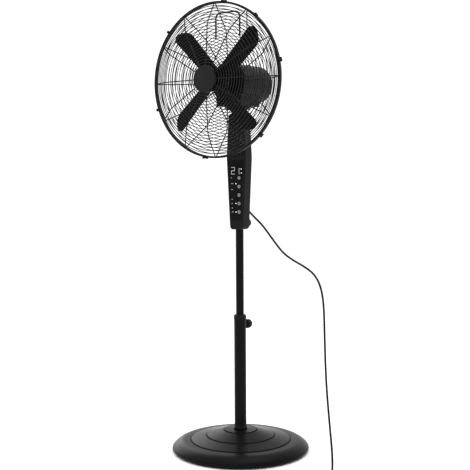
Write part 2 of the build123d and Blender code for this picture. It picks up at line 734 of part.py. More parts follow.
def coil_edges():
    """Half turns that spiral in on the floor, climb a layer in one half turn and spiral out on top."""
    x, y = COIL_CENTRE[0] + COIL_RADIUS, COIL_CENTRE[1]
    low, high = COIL_LIFT, COIL_LIFT + COIL_STEP
    inward = [COIL_RADIUS, COIL_RADIUS - COIL_STEP / 2]
    climb = COIL_RADIUS - COIL_STEP
    outward = [climb] + inward[::-1]
    turns = [(r, low, low) for r in inward] + [(climb, low, high)] + [(r, high, high) for r in outward]
    edges = []
    towards = -1
    for radius, z0, z1 in turns:
        end = x + towards * 2 * radius
        middle = (x + towards * radius, y + towards * radius, (z0 + z1) / 2)
        edges.append(ThreePointArc((x, y, z0), middle, (end, y, z1)))
        x = end
        towards = -towards
    exit_radius = COIL_RADIUS + COIL_STEP / 2
    exit_x = x - exit_radius
    quarter = math.sqrt(0.5) * exit_radius
    corner = (exit_x, y - exit_radius, high)
    edges.append(ThreePointArc((x, y, high), (exit_x + quarter, y - quarter, high), corner))
    tail = (corner[0] - COIL_TAIL, corner[1], high)
    edges.append(Line(corner, tail))
    return edges, tail


def least_self_gap(edges):
    """Smallest free gap between stretches of the coil that are more than a third of a turn apart."""
    points = []
    for edge in edges:
        count = max(2, round(edge.length / (2 * CORD_RADIUS)))
        points += [edge @ (i / count) for i in range(count)]
    skip = round(2 * math.pi * COIL_RADIUS / 3 / (2 * CORD_RADIUS))
    gaps = [(points[i] - points[j]).length for i in range(len(points)) for j in range(i + skip, len(points))]
    return min(gaps) - 2 * CORD_RADIUS


def lead_radii(points):
    radii = []
    for before, here, after in zip(points, points[1:], points[2:]):
        run_in, run_out = here - before, after - here
        turn = math.radians(run_in.get_angle(run_out))
        radii.append(0.45 * min(run_in.length, run_out.length) / math.tan(turn / 2))
    return radii


def build_cord():
    coil_start = Vector(COIL_CENTRE[0] + COIL_RADIUS, COIL_CENTRE[1], COIL_LIFT)
    seat = relief_end() - relief_axis() * CORD_SEAT
    leave = relief_end() + relief_axis() * CORD_LEAVE
    points = [seat, leave] + [Vector(*p) for p in CORD_ROUTE] + [coil_start]
    radii = lead_radii(points)
    print("lead radii", [round(r) for r in radii])
    lead_path = FilletPolyline(*points, radius=radii)
    lead = tube_along(lead_path, CORD_RADIUS)
    print("lead length", round(lead_path.length, 1))
    print("lead volume ratio", round(lead.volume / (math.pi * CORD_RADIUS**2 * lead_path.length), 5))
    edges, tail = coil_edges()
    coil_path = Wire(Curve(children=edges).edges())
    coil = tube_along(coil_path, CORD_RADIUS)
    print("coil length", round(coil_path.length, 1), "least gap", round(least_self_gap(edges), 2))
    print("coil volume ratio", round(coil.volume / (math.pi * CORD_RADIUS**2 * coil_path.length), 5))
    save("mains_cord", lead)
    save("cord_coil", coil)
    build_tie()
    build_plug(Vector(*tail))


def build_tie():
    reach = CORD_RADIUS + TIE_GAP
    x0 = COIL_CENTRE[0] + COIL_RADIUS - COIL_STEP - reach
    x1 = COIL_CENTRE[0] + COIL_RADIUS + reach
    z0, z1 = COIL_LIFT - reach, COIL_LIFT + COIL_STEP + reach
    y0, y1 = COIL_CENTRE[1] - TIE_WIDTH / 2, COIL_CENTRE[1] + TIE_WIDTH / 2
    t = TIE_THICK
    band = block(x0 - t, x1 + t, y0, y1, z0 - t, z1 + t)
    band = fillet(band.edges().filter_by(Axis.Y), reach / 2 + t)
    hollow = block(x0, x1, y0 - 1, y1 + 1, z0, z1)
    save("cord_tie", band - fillet(hollow.edges().filter_by(Axis.Y), reach / 2))


def build_plug(tail):
    sleeve_length, sleeve_radius = PLUG_SLEEVE
    length, half_y, half_z = PLUG_BODY
    sleeve_plane = Plane(origin=tail + Vector(CORD_SEAT, 0, 0), z_dir=(-1, 0, 0))
    sleeve = Solid.make_cone(CORD_RADIUS + 1, sleeve_radius, sleeve_length + 1, plane=sleeve_plane)
    back_x = tail.X + CORD_SEAT - sleeve_length
    front_x = back_x - length
    back = Plane(origin=(back_x, tail.Y, tail.Z), x_dir=(0, 1, 0), z_dir=(-1, 0, 0))
    front = Plane(origin=(front_x, tail.Y, tail.Z), x_dir=(0, 1, 0), z_dir=(-1, 0, 0))
    narrow = back * RectangleRounded(2 * (half_y - PLUG_TAPER), 2 * (half_z - PLUG_TAPER), PLUG_TAPER)
    wide = front * RectangleRounded(2 * half_y, 2 * half_z, 2 * PLUG_TAPER)
    body = loft([narrow, wide], ruled=True) + sleeve
    body -= rod_x(CORD_RADIUS + FIXED_GAP, tail.X - FIXED_GAP, tail.X + 2 * CORD_SEAT, tail.Y, tail.Z)
    pins = []
    for side in (-1, 1):
        y = tail.Y + side * PIN_SPACING / 2
        body -= rod_x(PIN_RADIUS + FIXED_GAP, front_x - 1, front_x + PIN_SEAT, y, tail.Z)
        pin = rod_x(PIN_RADIUS, front_x - PIN_LENGTH, front_x + PIN_SEAT, y, tail.Z)
        tip = pin.faces().sort_by(Axis.X)[0].edges()
        pins.append(fillet(tip, PIN_RADIUS / 2))
    save("plug", body)
    save("plug_pins", *pins)


# Tilt neck
def build_neck():
    barrel = rod_x(TONGUE_RADIUS, -TONGUE_HALF, TONGUE_HALF, TILT_Y, TILT_Z)
    d = NECK_HALF_DEPTH
    side = Polyline(
        (TILT_Y - d, TILT_Z),
        (TILT_Y + d, TILT_Z),
        (SWING_Y + d, TURRET_Z + 1),
        (SWING_Y - d, TURRET_Z + 1),
        close=True,
    )
    stem = extrude(Plane.YZ * make_face(side), TONGUE_HALF, both=True)
    turret = rod_z(TURRET_RADIUS, TURRET_Z, TURRET_TOP, 0, SWING_Y)
    turret = chamfer(turret.edges().sort_by(Axis.Z)[0], NECK_RISE / 3)
    spindle = rod_z(SPINDLE_RADIUS, TURRET_TOP - 1, TURRET_TOP + SPINDLE_RISE, 0, SWING_Y)
    bore = rod_x(BOLT_RADIUS + RUNNING_GAP, -2 * TONGUE_HALF, 2 * TONGUE_HALF, TILT_Y, TILT_Z)
    gear = Pos(0, SWING_Y, GEAR_Z) * gear_blank(GEAR_TEETH, math.pi / 2, GEAR_THICK)
    save("tilt_neck", barrel + stem + turret + spindle + gear - bore)
    slope = (HOUSING_WIDE_HALF - HOUSING_CROWN_HALF) / (HOUSING_HEIGHT - HOUSING_WIDE_Z)
    face_x = HOUSING_CROWN_HALF + slope * (TILT_DROP + BOLT_HEAD[0]) + FIXED_GAP
    head_radius, head_height = BOLT_HEAD
    nut_end = face_x + BOLT_NUT_HEIGHT
    bolt = rod_x(BOLT_RADIUS, -nut_end - BOLT_TIP, face_x + 1, TILT_Y, TILT_Z)
    bolt += rod_x(head_radius, face_x, face_x + head_height, TILT_Y, TILT_Z)
    nut = Pos(-nut_end, TILT_Y, TILT_Z) * Rot(0, 90, 0) * hexagon(BOLT_NUT_FLATS, BOLT_NUT_HEIGHT)
    save("tilt_bolt", bolt, nut - rod_x(BOLT_RADIUS + FIXED_GAP, -nut_end - 1, 0, TILT_Y, TILT_Z))


# Swing drive
def involute(angle):
    return math.tan(angle) - angle


def gear_blank(teeth, phase, thickness):
    pitch = GEAR_MODULE * teeth / 2
    pressure = math.radians(PRESSURE_ANGLE)
    base = pitch * math.cos(pressure)
    tip = pitch + ADDENDUM * GEAR_MODULE
    root = pitch - DEDENDUM * GEAR_MODULE
    start = max(base, root)
    half = math.pi / (2 * teeth) - GEAR_BACKLASH / (2 * pitch) + involute(pressure)
    flank = []
    for i in range(FLANK_POINTS):
        r = start + (tip - start) * i / (FLANK_POINTS - 1)
        flank.append((r, half - involute(math.acos(base / r))))
    rise = [(root, flank[0][1])] + flank if root < base else flank
    outline = []
    for tooth in range(teeth):
        centre = phase + 2 * math.pi * tooth / teeth
        for r, spread in rise:
            outline.append((r * math.cos(centre - spread), r * math.sin(centre - spread)))
        for r, spread in reversed(rise):
            outline.append((r * math.cos(centre + spread), r * math.sin(centre + spread)))
    return extrude(make_face(Polyline(*outline, close=True)), thickness)


def build_swing_drive():
    floor_top = BOX_Z + SWING_FLOOR
    pinion_y = SWING_Y + GEAR_MODULE * (GEAR_TEETH + PINION_TEETH) / 2
    gap_phase = -math.pi / 2 + math.pi / PINION_TEETH
    pinion = Pos(0, pinion_y, GEAR_Z) * gear_blank(PINION_TEETH, gap_phase, GEAR_THICK)
    motor_z = GEAR_Z + GEAR_THICK + AIR_GAP
    shaft_top = motor_z + PINION_SHAFT_RISE
    save("swing_pinion", pinion + rod_z(PINION_SHAFT_RADIUS, GEAR_Z, shaft_top, 0, pinion_y))
    ear_x, ear_y, ear_thick = SWING_EAR
    body = rod_z(SWING_MOTOR_RADIUS, motor_z, motor_z + SWING_MOTOR_HEIGHT, 0, pinion_y)
    body += block(-ear_x, ear_x, pinion_y - ear_y, pinion_y + ear_y, motor_z, motor_z + ear_thick)
    body -= rod_z(PINION_SHAFT_RADIUS + RUNNING_GAP, motor_z - 1, shaft_top + AIR_GAP, 0, pinion_y)
    save("swing_motor", body)
    half = BOX_HALF_WIDTH - MOTOR_WALL - RUNNING_GAP
    front = MOTOR_FRONT + MOTOR_COVER_THICK + RUNNING_GAP
    floor = block(-half, half, front, BOX_REAR - MOTOR_WALL - RUNNING_GAP, BOX_Z, floor_top)
    rear_corners = floor.edges().filter_by(Axis.Z).group_by(Axis.Y)[-1]
    floor = fillet(rear_corners, BOX_CORNER_ROUND - MOTOR_WALL)
    floor -= rod_z(SPINDLE_RADIUS + RUNNING_GAP, BOX_Z - 1, floor_top + 1, 0, SWING_Y)
    for x in (-SWING_POST_X, SWING_POST_X):
        floor += rod_z(SWING_POST_RADIUS, floor_top - 1, motor_z, x, pinion_y)
    save("swing_floor", floor)


# Motor
def motor_shape(inset):
    radius = MOTOR_RADIUS - inset
    rear = MOTOR_REAR - inset
    front = MOTOR_FRONT + MOTOR_COVER_THICK
    barrel = on_head(rod_z(radius, front, rear))
    barrel = fillet(barrel.faces().sort_by(Axis.Y)[-1].edges(), MOTOR_REAR_ROUND - inset)
    half = BOX_HALF_WIDTH - inset
    box = block(-half, half, front, BOX_REAR - inset, BOX_Z, HEAD_Z)
    box = fillet(box.edges().filter_by(Axis.Z).group_by(Axis.Y)[-1], BOX_CORNER_ROUND - inset)
    return barrel + box


def build_motor_casing():
    shell = motor_shape(0) - motor_shape(MOTOR_WALL)
    r0, r1 = VENT_RADII
    slot = block(r0, r1, -VENT_WIDTH / 2, VENT_WIDTH / 2, MOTOR_REAR - 2 * MOTOR_WALL, MOTOR_REAR + 1)
    for index in range(VENT_COUNT):
        shell -= at_angle(slot, 360 * index / VENT_COUNT)
    save("motor_shell", shell)
    plate_y = MOTOR_FRONT + MOTOR_COVER_THICK
    cover = on_head(rod_z(MOTOR_RADIUS, MOTOR_FRONT, plate_y))
    cover += block(-BOX_HALF_WIDTH, BOX_HALF_WIDTH, MOTOR_FRONT, plate_y, BOX_Z, HEAD_Z)
    cover += on_head(rod_z(NOSE_RADIUS, MOTOR_FRONT - NOSE_LENGTH, MOTOR_FRONT))
    cup = STATOR_RADIUS + FIXED_GAP
    cover += ring_on_head(cup + CUP_WALL, cup, plate_y - 1, STATOR_Y[0] + CUP_OVERLAP)
    seat_front = MOTOR_FRONT - NOSE_LENGTH
    seat_rear = seat_front + BEARING_WIDTH + 2 * AIR_GAP
    cover -= on_head(rod_z(BEARING_RADIUS + FIXED_GAP, seat_front - 1, seat_rear))
    cover -= on_head(rod_z(SHAFT_RADIUS + SHAFT_HOLE_GAP, seat_front, plate_y + 1))
    save("motor_front_cover", cover)
    seat_wall = BEARING_RADIUS + BEARING_SEAT_WALL
    end_face = END_PLATE_Y + END_PLATE_THICK
    end_plate = on_head(rod_z(cup + CUP_WALL, END_PLATE_Y, end_face))
    end_plate += ring_on_head(cup + CUP_WALL, cup, STATOR_Y[1] - CUP_OVERLAP, END_PLATE_Y)
    rear_seat = end_face + BEARING_WIDTH + 2 * AIR_GAP
    end_plate += on_head(rod_z(seat_wall, end_face, rear_seat))
    end_plate -= on_head(rod_z(BEARING_RADIUS + FIXED_GAP, end_face, rear_seat + 1))
    end_plate -= on_head(rod_z(SHAFT_RADIUS + SHAFT_HOLE_GAP, END_PLATE_Y - 1, rear_seat))
    save("motor_end_plate", end_plate)
    bore = SHAFT_RADIUS + FIXED_GAP
    front_bearing = ring_on_head(BEARING_RADIUS, bore, seat_rear - BEARING_WIDTH, seat_rear)
    rear_bearing = ring_on_head(BEARING_RADIUS, bore, end_face, end_face + BEARING_WIDTH)
    save("motor_bearings", front_bearing, rear_bearing)


def build_motor():
    y0, y1 = STATOR_Y
    save("stator_core", ring_on_head(STATOR_RADIUS, ROTOR_RADIUS + ROTOR_GAP, y0, y1))
    r0, r1 = WINDING_RADII
    front = ring_on_head(r1, r0, y0 - WINDING_LENGTH, y0)
    rear = ring_on_head(r1, r0, y1, y1 + WINDING_LENGTH)
    save("stator_windings", front, rear)
    save("motor_shaft", on_head(rod_z(SHAFT_RADIUS, SHAFT_FRONT, SHAFT_REAR)))
    rotor_bore = SHAFT_RADIUS + FIXED_GAP
    save("motor_rotor", ring_on_head(ROTOR_RADIUS, rotor_bore, y0 - ROTOR_OVERHANG, y1 + ROTOR_OVERHANG))


# Guards
def rim_wire(side):
    return RIM_RADIUS - BAND_WALL - RIM_WIRE - RUNNING_GAP, RIM_Y + side * RIM_WIRE_APART / 2


def spoke_points(spoke, side):
    """The spoke's line as (radius, y) up to the rim wire, side 1 for the rear guard, -1 for the front."""
    radius, y = spoke[1]
    rim_radius, rim_y = rim_wire(side)
    run = math.hypot(rim_radius - radius, rim_y - y)
    share = 1 - (RIM_WIRE + WELD_GAP) / run
    end = (radius + (rim_radius - radius) * share, y + (rim_y - y) * share)
    return [*spoke, end]


def wire_at(spoke, radius, side):
    """Centre of the ring wire that lies on the outside of the spoke at that radius."""
    points = spoke_points(spoke, side)
    (r0, y0), (r1, y1) = points[:2] if radius < points[1][0] else points[1:]
    run = math.hypot(r1 - r0, y1 - y0)
    along = ((r1 - r0) / run, (y1 - y0) / run)
    y = y0 + (y1 - y0) * (radius - r0) / (r1 - r0)
    apart = SPOKE_WIRE + RING_WIRE + WELD_GAP
    return radius - side * along[1] * apart, y + side * along[0] * apart


def ring_radii(first, pitch):
    last = RIM_RADIUS - RING_MARGIN
    return [last - pitch * i for i in range(int((last - first) / pitch) + 1)]


def guard_wires(spoke, radii, side):
    rings = []
    for ring_radius in radii:
        radius, y = wire_at(spoke, ring_radius, side)
        rings.append(on_head(Pos(0, 0, y) * Torus(radius, RING_WIRE)))
    rim_radius, rim_y = rim_wire(side)
    rings.append(on_head(Pos(0, 0, rim_y) * Torus(rim_radius, RIM_WIRE)))
    points = [(r, 0, y) for r, y in spoke_points(spoke, side)]
    bar = tube_along(FilletPolyline(*points, radius=SPOKE_BEND), SPOKE_WIRE)
    spokes = [at_angle(bar, 360 * i / SPOKE_COUNT) for i in range(SPOKE_COUNT)]
    return rings + spokes


def build_front_guard():
    face = FRONT_SPOKE[0][1] - SPOKE_WIRE - FIXED_GAP
    plate = on_head(rod_z(HUB_PLATE_RADIUS, face - HUB_PLATE_THICK, face))
    radii = ring_radii(FRONT_RING_FIRST, FRONT_RING_PITCH)
    save("front_guard", *guard_wires(FRONT_SPOKE, radii, -1), plate)
    back = face - HUB_PLATE_THICK
    front = back - BADGE_THICK
    lip = BADGE_THICK / 4
    badge = turned_on_head(
        (0, back),
        (BADGE_RADIUS, back),
        (BADGE_RADIUS, front + 2 * lip),
        (BADGE_RADIUS - lip / 2, front + lip),
        (BADGE_RADIUS - 2 * lip, front + lip / 2),
        (BADGE_RADIUS - 3 * lip, front + lip),
        (0, front),
    )
    save("badge", badge)


def build_rear_guard():
    nose = NOSE_RADIUS + FIXED_GAP
    plate_rear = MOTOR_FRONT - RUNNING_GAP
    plate = ring_on_head(GUARD_PLATE_RADIUS, nose, plate_rear - GUARD_PLATE_THICK, plate_rear)
    radii = ring_radii(REAR_RING_FIRST, REAR_RING_PITCH)
    save("rear_guard", *guard_wires(REAR_SPOKE, radii, 1), plate)
    nut_rear = plate_rear - GUARD_PLATE_THICK - FIXED_GAP
    nut = ring_on_head(GUARD_NUT_RADIUS, nose, nut_rear - GUARD_NUT_LENGTH, nut_rear)
    notch = rod_z(GUARD_NUT_LOBE, nut_rear - GUARD_NUT_LENGTH - 1, nut_rear + 1, GUARD_NUT_RADIUS + 1)
    for index in range(GUARD_NUT_LOBES):
        nut -= at_angle(notch, 360 * index / GUARD_NUT_LOBES)
    save("guard_nut", nut)
    x = HANDLE_HALF_WIDTH
    high = HEAD_Z + RIM_RADIUS - HANDLE_TOP_INSET
    low = high - HANDLE_HEIGHT
    seat_radius = min(r for r in radii if r > math.hypot(x, low - HEAD_Z))
    seat = wire_at(REAR_SPOKE, seat_radius, 1)[1]
    handle_y = seat + RING_WIRE + HANDLE_WIRE + WELD_GAP
    corners = [(-x, handle_y, low), (-x, handle_y, high), (x, handle_y, high), (x, handle_y, low)]
    save("carry_handle", tube_along(FilletPolyline(*corners, radius=HANDLE_BEND), HANDLE_WIRE))


def clip_pivot():
    rear = RIM_Y + BAND_WIDTH / 2
    return RIM_RADIUS + CLIP_LIFT + CLIP_BARREL, rear + CLIP_PIVOT_BACK


def clip_shape():
    front = RIM_Y - BAND_WIDTH / 2 - AIR_GAP
    u, h = clip_pivot()
    inner = RIM_RADIUS + CLIP_LIFT
    outer = inner + CLIP_THICK
    w = CLIP_HALF_WIDTH
    tab_rise, tab_length = CLIP_TAB
    hook_face = front - CLIP_HOOK_THICK
    clip = block(inner, outer, -w, w, hook_face, h)
    clip += block(RIM_RADIUS - CLIP_HOOK_REACH, outer, -w, w, hook_face, front)
    clip += block(inner, outer + tab_rise, -w, w, hook_face - tab_length / 2, hook_face + tab_length / 2)
    clip += Pos(u, 0, h) * Rot(90, 0, 0) * Cylinder(CLIP_BARREL, 2 * w)
    return clip + Pos(u, 0, h) * Rot(90, 0, 0) * Cylinder(CLIP_PIN_RADIUS, 2 * (w + CLIP_PIN_LENGTH))


def build_rim():
    front, rear = RIM_Y - BAND_WIDTH / 2, RIM_Y + BAND_WIDTH / 2
    band = ring_on_head(RIM_RADIUS, RIM_RADIUS - BAND_WALL, front, rear)
    u, h = clip_pivot()
    lug_y = CLIP_HALF_WIDTH + AIR_GAP
    lug_h = h + CLIP_BARREL + CLIP_LIFT
    lugs = []
    for side in (-1, 1):
        y0, y1 = sorted((side * lug_y, side * (lug_y + LUG_THICK)))
        lug = block(RIM_RADIUS - LUG_SINK, RIM_RADIUS + LUG_RISE, y0, y1, lug_h - LUG_LENGTH, lug_h)
        lugs.append(lug - Pos(u, 0, h) * Rot(90, 0, 0) * Cylinder(CLIP_PIN_RADIUS + FIXED_GAP, 4 * lug_y))
    clip = clip_shape()
    for index, angle in enumerate(CLIP_ANGLES):
        for lug in lugs:
            band += at_angle(lug, angle)
        save(f"guard_clip_{index + 1}", at_angle(clip, angle))
    save("rim_band", band)
    inner = RIM_RADIUS + RUNNING_GAP
    outer = inner + CLIP_THICK
    w = RIM_LOCK_HALF
    hook = CLIP_HOOK_THICK
    lock = block(inner, outer, -w, w, front - hook - AIR_GAP, rear + hook + AIR_GAP)
    lock += block(RIM_RADIUS - CLIP_HOOK_REACH, outer, -w, w, front - hook - AIR_GAP, front - AIR_GAP)
    lock += block(RIM_RADIUS - CLIP_HOOK_REACH, outer, -w, w, rear + AIR_GAP, rear + hook + AIR_GAP)
    head_radius, head_height = RIM_LOCK_HEAD
    head = Pos(outer + head_height / 2, 0, RIM_Y) * Rot(0, 90, 0) * Cylinder(head_radius, head_height)
    save("rim_lock", at_angle(lock + head, RIM_LOCK_ANGLE))


# Blades
def blade_sheet():
    w0, w1 = BLADE_SHEET
    sections = []
    for index in range(BLADE_SECTIONS):
        share = index / (BLADE_SECTIONS - 1)
        radius = BLADE_ROOT + (BLADE_TIP + BLADE_THICK - BLADE_ROOT) * share
        pitch = math.radians(BLADE_ROOT_PITCH + (BLADE_TIP_PITCH - BLADE_ROOT_PITCH) * share)
        chord = (0, math.cos(pitch), math.sin(pitch))
        plane = Plane(origin=(radius, 0, BLADE_Y), x_dir=chord, z_dir=(1, 0, 0))
        sections.append(plane * Pos((w0 + w1) / 2, 0) * Rectangle(w1 - w0, BLADE_THICK))
    return loft(sections, ruled=True)


def from_tip(inset, offset):
    return BLADE_TIP - inset, offset


def blade_outline():
    foot = BLADE_ROOT - BLADE_THICK
    trailing_root, leading_root = ((foot, offset) for offset in BLADE_ROOT_EDGES)
    trailing_tip = from_tip(*BLADE_TRAILING_TIP)
    corner = from_tip(*BLADE_TIP_CORNER)
    leading_tip = from_tip(*BLADE_LEADING_TIP)
    edges = [
        Line(trailing_root, trailing_tip),
        ThreePointArc(trailing_tip, from_tip(0, BLADE_TIP_OFFSET), corner),
        ThreePointArc(corner, from_tip(*BLADE_LEADING_MID), leading_tip),
        Line(leading_tip, leading_root),
        Line(leading_root, trailing_root),
    ]
    face = make_face(Curve(children=edges).edges())
    return Pos(0, 0, BLADE_Y - BLADE_SLAB / 2) * extrude(face, BLADE_SLAB)


def build_blades():
    bore = SHAFT_RADIUS + FIXED_GAP
    inner = HUB_RADIUS - HUB_WALL
    hub = turned(
        (bore, HUB_FRONT),
        (HUB_FACE_RADIUS, HUB_FRONT),
        (HUB_RADIUS, HUB_SHOULDER),
        (HUB_RADIUS, HUB_REAR),
        (inner, HUB_REAR),
        (inner, HUB_SHOULDER + 2 * HUB_WALL),
        (HUB_CORE_RADIUS, HUB_SHOULDER + HUB_WALL),
        (HUB_CORE_RADIUS, HUB_REAR),
        (bore, HUB_REAR),
    )
    blade = blade_sheet() & blade_outline()
    for index in range(BLADE_COUNT):
        hub += Rot(0, 0, BLADE_FIRST_ANGLE + 360 * index / BLADE_COUNT) * blade
    save("fan_blade", on_head(hub))
    rear = HUB_FRONT - FIXED_GAP
    front = rear - BLADE_NUT_LENGTH
    nut = turned_on_head(
        (bore, rear),
        (BLADE_NUT_RADIUS, rear),
        (BLADE_NUT_RADIUS, rear - BLADE_NUT_LENGTH / 2),
        (BLADE_NUT_RADIUS * 0.6, front),
        (0, front),
        (0, SHAFT_FRONT - AIR_GAP),
        (bore, SHAFT_FRONT - AIR_GAP),
    )
    save("blade_nut", nut)


build_base()
build_poles()
build_knobs()
build_housing()
build_panel()
build_socket()
build_strain_relief()
build_cord()
build_neck()
build_swing_drive()
build_motor_casing()
build_motor()
build_front_guard()
build_rear_guard()
build_rim()
build_blades()
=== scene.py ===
import json
import math

import bpy
from mathutils import Matrix, Vector


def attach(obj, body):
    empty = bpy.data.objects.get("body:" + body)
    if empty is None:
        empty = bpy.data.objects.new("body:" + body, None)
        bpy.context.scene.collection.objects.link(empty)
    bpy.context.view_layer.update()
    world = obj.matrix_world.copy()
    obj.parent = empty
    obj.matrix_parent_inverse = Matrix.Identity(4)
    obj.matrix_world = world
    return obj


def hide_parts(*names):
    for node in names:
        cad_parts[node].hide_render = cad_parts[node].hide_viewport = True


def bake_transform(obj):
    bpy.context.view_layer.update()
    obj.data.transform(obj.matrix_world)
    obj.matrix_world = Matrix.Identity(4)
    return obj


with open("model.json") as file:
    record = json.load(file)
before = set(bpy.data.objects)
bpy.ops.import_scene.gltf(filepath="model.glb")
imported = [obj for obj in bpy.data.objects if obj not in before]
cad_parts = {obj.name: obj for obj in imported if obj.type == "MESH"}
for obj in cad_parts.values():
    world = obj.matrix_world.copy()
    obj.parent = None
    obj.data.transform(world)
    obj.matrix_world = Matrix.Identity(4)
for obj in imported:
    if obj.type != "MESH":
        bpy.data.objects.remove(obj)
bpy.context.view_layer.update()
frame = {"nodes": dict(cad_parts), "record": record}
nodes = frame["nodes"]
scene = bpy.context.scene

# Places on the fan that its dressing follows, in metres
HEAD_Z = 1.066
PANEL_Y = -0.018
STEP_RADII = (0.0485, 0.0995, 0.1455)
STEP_LINE = 0.0022

# Camera
CAMERA_PLACE = (1.576, -2.2597, 0.8156)
CAMERA_RIGHT = Vector((0.8177, 0.5757, -0.0053))
CAMERA_FORWARD = Vector((-0.5747, 0.8156, -0.067))
CAMERA_LENS = 73.09


def make_camera():
    forward = CAMERA_FORWARD.normalized()
    up = CAMERA_RIGHT.normalized().cross(forward).normalized()
    right = forward.cross(up)
    data = bpy.data.cameras.new("camera")
    data.sensor_width = 36.0
    data.lens = CAMERA_LENS
    data.clip_end = 50.0
    camera = bpy.data.objects.new("camera", data)
    turn = Matrix((right, up, -forward)).transposed()
    camera.matrix_world = Matrix.Translation(CAMERA_PLACE) @ turn.to_4x4()
    scene.collection.objects.link(camera)
    scene.camera = camera


# Cord: one smooth line from the strain relief to the plug
CORD_RADIUS = 0.003
CORD_INSIDE = 0.005
CORD_STRAIGHT = 0.0105
RELIEF_PLACE = Vector((0, 0.022, 0.716))
RELIEF_LENGTH = 0.028
RELIEF_DROOP = math.radians(35)
RELIEF_AXIS = Vector((0, math.cos(RELIEF_DROOP), -math.sin(RELIEF_DROOP)))
RELIEF_END = RELIEF_PLACE + RELIEF_AXIS * RELIEF_LENGTH
LEAD_MM = (
    (9.5, 69.0, 676.0),
    (27.0, 76.0, 658.0),
    (46.0, 80.0, 634.0),
    (64.0, 84.0, 610.0),
    (79.0, 86.0, 592.0),
    (94.5, 87.0, 576.5),
    (111.0, 86.0, 566.0),
    (138.0, 83.0, 553.5),
    (163.5, 78.0, 544.5),
    (187.0, 72.0, 535.0),
    (211.0, 64.0, 523.0),
    (233.0, 54.0, 503.0),
    (250.0, 43.0, 474.0),
    (261.0, 33.0, 436.0),
    (268.0, 24.0, 390.0),
    (274.0, 16.0, 340.0),
    (280.0, 8.5, 290.0),
    (287.0, 1.0, 240.0),
    (295.0, -6.0, 190.0),
    (304.0, -13.0, 142.0),
    (314.0, -22.0, 98.0),
    (325.0, -34.0, 61.0),
    (336.0, -50.0, 33.0),
    (347.0, -71.0, 15.0),
    (359.0, -96.0, 6.5),
    (370.0, -122.0, 4.8),
    (376.0, -147.0, 4.4),
)
COIL_CENTRE = Vector((0.336, -0.165, 0))
COIL_RADIUS = 0.040
COIL_STEP = 0.0092
COIL_LIFT = 0.0044
COIL_TAIL = 0.036


def coil_points():
    low, high = COIL_LIFT, COIL_LIFT + COIL_STEP
    inward = [COIL_RADIUS, COIL_RADIUS - COIL_STEP / 2]
    climb = COIL_RADIUS - COIL_STEP
    turns = [(r, low, low) for r in inward]
    turns += [(climb, low, high), (climb, high, high)]
    turns += [(r, high, high) for r in inward[::-1]]
    x, y = COIL_CENTRE.x + COIL_RADIUS, COIL_CENTRE.y
    points = []
    towards = -1
    for radius, z0, z1 in turns:
        for step in range(12):
            angle = math.pi * step / 12
            level = z0 + (z1 - z0) * (1 - math.cos(angle)) / 2
            across = towards * radius * (1 - math.cos(angle))
            points.append(Vector((x + across, y + towards * radius * math.sin(angle), level)))
        x += towards * 2 * radius
        towards = -towards
    radius = COIL_RADIUS + COIL_STEP / 2
    for step in range(7):
        angle = math.pi / 2 * step / 6
        points.append(Vector((x - radius * (1 - math.cos(angle)), y - radius * math.sin(angle), high)))
    end = points[-1]
    points += [end - Vector((COIL_TAIL * share, 0, 0)) for share in (0.33, 0.67, 1.0)]
    return points


def smooth_line(points):
    data = bpy.data.curves.new("cord_line", "CURVE")
    data.dimensions = "3D"
    data.resolution_u = 8
    spline = data.splines.new("NURBS")
    spline.points.add(len(points) - 1)
    for place, point in zip(spline.points, points):
        place.co = (*point, 1)
    spline.order_u = 3
    spline.use_endpoint_u = True
    line = bpy.data.objects.new("cord_line", data)
    scene.collection.objects.link(line)
    bpy.context.view_layer.update()
    mesh = bpy.data.meshes.new_from_object(line.evaluated_get(bpy.context.evaluated_depsgraph_get()))
    found = [v.co.copy() for v in mesh.vertices]
    bpy.data.objects.remove(line)
    bpy.data.curves.remove(data)
    bpy.data.meshes.remove(mesh)
    kept = found[:1]
    for point in found[1:]:
        if (point - kept[-1]).length > 1e-5:
            kept.append(point)
    return kept


def add_mesh(name, vertices, faces, smooth=True):
    mesh = bpy.data.meshes.new(name)
    mesh.from_pydata([tuple(v) for v in vertices], [], faces)
    mesh.validate()
    if smooth:
        mesh.shade_smooth()
    piece = bpy.data.objects.new(name, mesh)
    scene.collection.objects.link(piece)
    return piece


def ring_faces(rings, sides):
    """Faces that join rings of vertices one after another and close both ends."""
    faces = []
    for ring in range(rings - 1):
        here, there = ring * sides, (ring + 1) * sides
        for step in range(sides):
            after = (step + 1) % sides
            faces.append((here + step, here + after, there + after, there + step))
    faces.append(tuple(reversed(range(sides))))
    faces.append(tuple(range((rings - 1) * sides, rings * sides)))
    return faces


def tube_form(points, radius, sides=16):
    """Vertices and faces of a round tube along the points, closed at both ends."""
    vertices = []
    ahead = (points[1] - points[0]).normalized()
    side = ahead.orthogonal().normalized()
    for index, point in enumerate(points):
        before = points[max(index - 1, 0)]
        after = points[min(index + 1, len(points) - 1)]
        turned = (after - before).normalized()
        side = ahead.rotation_difference(turned) @ side
        side = (side - turned * side.dot(turned)).normalized()
        ahead = turned
        other = ahead.cross(side)
        for step in range(sides):
            angle = 2 * math.pi * step / sides
            vertices.append(point + (side * math.cos(angle) + other * math.sin(angle)) * radius)
    return vertices, ring_faces(len(points), sides)


def make_cord():
    start = RELIEF_END - RELIEF_AXIS * CORD_INSIDE
    leave = RELIEF_END + RELIEF_AXIS * CORD_STRAIGHT
    control = [start, leave] + [Vector(p) / 1000 for p in LEAD_MM] + coil_points()
    line = smooth_line(control)
    cord = add_mesh("lead", *tube_form(line, CORD_RADIUS))
    length = sum((b - a).length for a, b in zip(line, line[1:]))
    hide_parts("mains_cord", "cord_coil")
    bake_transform(cord)
    return cord


